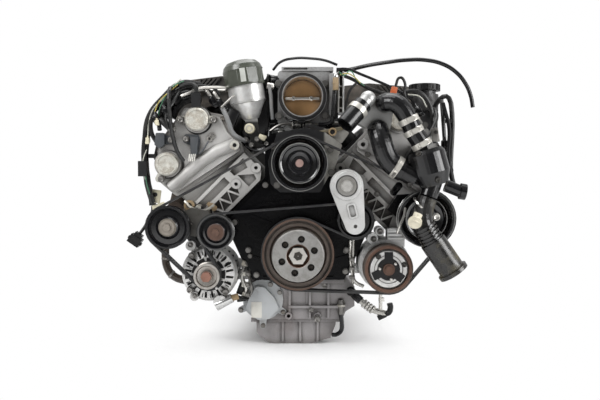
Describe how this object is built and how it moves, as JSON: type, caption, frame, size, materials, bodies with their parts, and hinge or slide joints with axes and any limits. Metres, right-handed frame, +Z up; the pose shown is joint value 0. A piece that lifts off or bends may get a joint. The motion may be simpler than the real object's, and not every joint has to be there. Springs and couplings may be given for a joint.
{
  "type": "car engine",
  "caption": "Front-dressed V engine for a car: block, heads, sump, belt drive with accessories, throttle, oil filter, coolant pipes and wiring.",
  "frame": {"origin": "centre of the crankshaft's rear flange face, on the crank axis", "axes": "+Z up; -Y forward along the crank to the belt drive; +X to the right as seen from the front"},
  "size_m": [0.7733, 0.6805, 0.6487],
  "materials": {
    "cast_aluminium": "sand cast, dull, stained in the corners",
    "smooth_aluminium": "die cast, satin",
    "mottled_aluminium": "pale mottled casting",
    "crank_steel": "forged steel with ground journals",
    "damper_steel": "bright face, rusty outer rings",
    "rusty_steel": "surface rust",
    "pressed_pan": "dull grey, scuffed",
    "grey_plastic": "moulded, dusty",
    "dark_cover": "dark, dusty, satin",
    "manifold_iron": "heat-stained and rusty",
    "black_casting": "black satin paint",
    "gloss_black": "gloss black paint",
    "black_plastic": "moulded black plastic",
    "throttle_brass": "stained, satin",
    "filter_green": "dark green grey, glossy",
    "filter_paper": "pleated filter paper",
    "pulley_steel": "plain steel",
    "clutch_face": "black plate on a bright ring",
    "belt_rubber": "worn ribbed rubber",
    "hose_rubber": "black rubber",
    "clamp_steel": "plain steel",
    "worn_pipe": "grey-brown, dusty",
    "loom_sleeve": "black woven sleeve",
    "bolt_steel": "zinc-plated steel"
  },
  "bodies": {
    "engine": {"engine_block": "cast_aluminium", "sump_upper": "cast_aluminium", "sump_lower": "pressed_pan", "side_cover": "grey_plastic", "left_head": "cast_aluminium", "right_head": "cast_aluminium", "left_cam_cover": "dark_cover", "right_cam_cover": "dark_cover", "left_drive_cover": "smooth_aluminium", "right_drive_cover": "smooth_aluminium", "cam_actuators": "mottled_aluminium", "sensors": "grey_plastic", "ignition_coils": "black_plastic", "coil_covers": "dark_cover", "left_exhaust_manifold": "manifold_iron", "right_exhaust_manifold": "manifold_iron", "front_cover": "black_casting", "water_pump_body": "black_casting", "intake_manifold": "black_plastic", "throttle_body": "smooth_aluminium", "purge_valve": "smooth_aluminium", "oil_filter_housing": "smooth_aluminium", "oil_filter_element": "filter_paper", "alternator_body": "cast_aluminium", "compressor_body": "cast_aluminium", "steering_pump_body": "black_casting", "idler_bracket": "cast_aluminium", "tensioner_base": "cast_aluminium", "drive_belt": "belt_rubber", "thermostat_housing": "black_plastic", "upper_hose": "hose_rubber", "lower_hose": "hose_rubber", "bypass_hose": "hose_rubber", "hose_clamps": "clamp_steel", "coolant_crossover": "cast_aluminium", "coolant_outlet": "worn_pipe", "expansion_tank": "black_plastic", "left_harness": "loom_sleeve", "right_harness": "loom_sleeve", "connectors": "black_plastic", "metal_pipes": "clamp_steel", "cover_bolts": "bolt_steel", "vent_hose": "hose_rubber", "sensor_lead": "loom_sleeve", "lead_connector": "black_plastic"},
    "crank": {"crankshaft": "crank_steel", "crank_damper": "damper_steel", "crank_bolt": "rusty_steel"},
    "water_pump": {"water_pump_pulley": "gloss_black"},
    "grooved_idler": {"grooved_idler": "black_plastic"},
    "smooth_idler": {"smooth_idler": "gloss_black"},
    "alternator": {"alternator_rotor": "pulley_steel"},
    "compressor_pulley": {"compressor_pulley": "rusty_steel"},
    "compressor_clutch": {"compressor_clutch_plate": "clutch_face"},
    "steering_pump": {"steering_pump_pulley": "gloss_black"},
    "tensioner_arm": {"tensioner_arm": "smooth_aluminium"},
    "tensioner_pulley": {"tensioner_pulley": "black_plastic"},
    "throttle": {"throttle_plate": "throttle_brass"},
    "filter_cap": {"oil_filter_cap": "filter_green"},
    "tank_cap": {"tank_cap": "black_plastic"}
  },
  "joints": [
    {"name": "crank_spin", "type": "hinge", "parent": "engine", "child": "crank", "pos_m": [0, -0.58, 0], "axis": [0, 1, 0], "continuous": true},
    {"name": "water_pump_spin", "type": "hinge", "parent": "engine", "child": "water_pump", "pos_m": [0.003, -0.58, 0.195], "axis": [0, 1, 0], "continuous": true},
    {"name": "grooved_idler_spin", "type": "hinge", "parent": "engine", "child": "grooved_idler", "pos_m": [-0.279, -0.58, 0.058], "axis": [0, 1, 0], "continuous": true},
    {"name": "smooth_idler_spin", "type": "hinge", "parent": "engine", "child": "smooth_idler", "pos_m": [-0.176, -0.58, 0.0475], "axis": [0, 1, 0], "continuous": true},
    {"name": "alternator_spin", "type": "hinge", "parent": "engine", "child": "alternator", "pos_m": [-0.196, -0.58, -0.047], "axis": [0, 1, 0], "continuous": true},
    {"name": "compressor_pulley_spin", "type": "hinge", "parent": "engine", "child": "compressor_pulley", "pos_m": [0.193, -0.58, -0.031], "axis": [0, 1, 0], "continuous": true},
    {"name": "compressor_clutch_spin", "type": "hinge", "parent": "engine", "child": "compressor_clutch", "pos_m": [0.193, -0.58, -0.031], "axis": [0, 1, 0], "continuous": true},
    {"name": "steering_pump_spin", "type": "hinge", "parent": "engine", "child": "steering_pump", "pos_m": [0.274, -0.58, 0.0765], "axis": [0, 1, 0], "continuous": true},
    {"name": "tensioner_swing", "type": "hinge", "parent": "engine", "child": "tensioner_arm", "pos_m": [0.102, -0.58, 0.147], "axis": [0, 1, 0], "range_deg": [0, 12], "stiffness_Nm_per_rad": 20, "springref_deg": -28.65, "deforming": ["drive_belt"]},
    {"name": "tensioner_pulley_spin", "type": "hinge", "parent": "tensioner_arm", "child": "tensioner_pulley", "pos_m": [0.1225, -0.58, 0.072], "axis": [0, 1, 0], "continuous": true},
    {"name": "throttle_turn", "type": "hinge", "parent": "engine", "child": "throttle", "pos_m": [0.0095, -0.462, 0.345], "axis": [1, 0, 0], "range_deg": [0, 85], "stiffness_Nm_per_rad": 0.3, "springref_deg": -20.05},
    {"name": "filter_cap_lift", "type": "slide", "parent": "engine", "child": "filter_cap", "axis": [-0.1736, 0, 0.9848], "range_m": [0, 0.11]},
    {"name": "tank_cap_lift", "type": "slide", "parent": "engine", "child": "tank_cap", "axis": [0, 0, 1], "range_m": [0, 0.04]}
  ],
  "couplings": [
    {"joint": "water_pump_spin", "follows": "crank_spin", "ratio": 1.281},
    {"joint": "grooved_idler_spin", "follows": "crank_spin", "ratio": 1.6667},
    {"joint": "smooth_idler_spin", "follows": "crank_spin", "ratio": -1.9872},
    {"joint": "alternator_spin", "follows": "crank_spin", "ratio": 2.7193},
    {"joint": "tensioner_pulley_spin", "follows": "crank_spin", "ratio": -2.013},
    {"joint": "compressor_pulley_spin", "follows": "crank_spin", "ratio": 1.4486},
    {"joint": "steering_pump_spin", "follows": "crank_spin", "ratio": 1.2602}
  ]
}
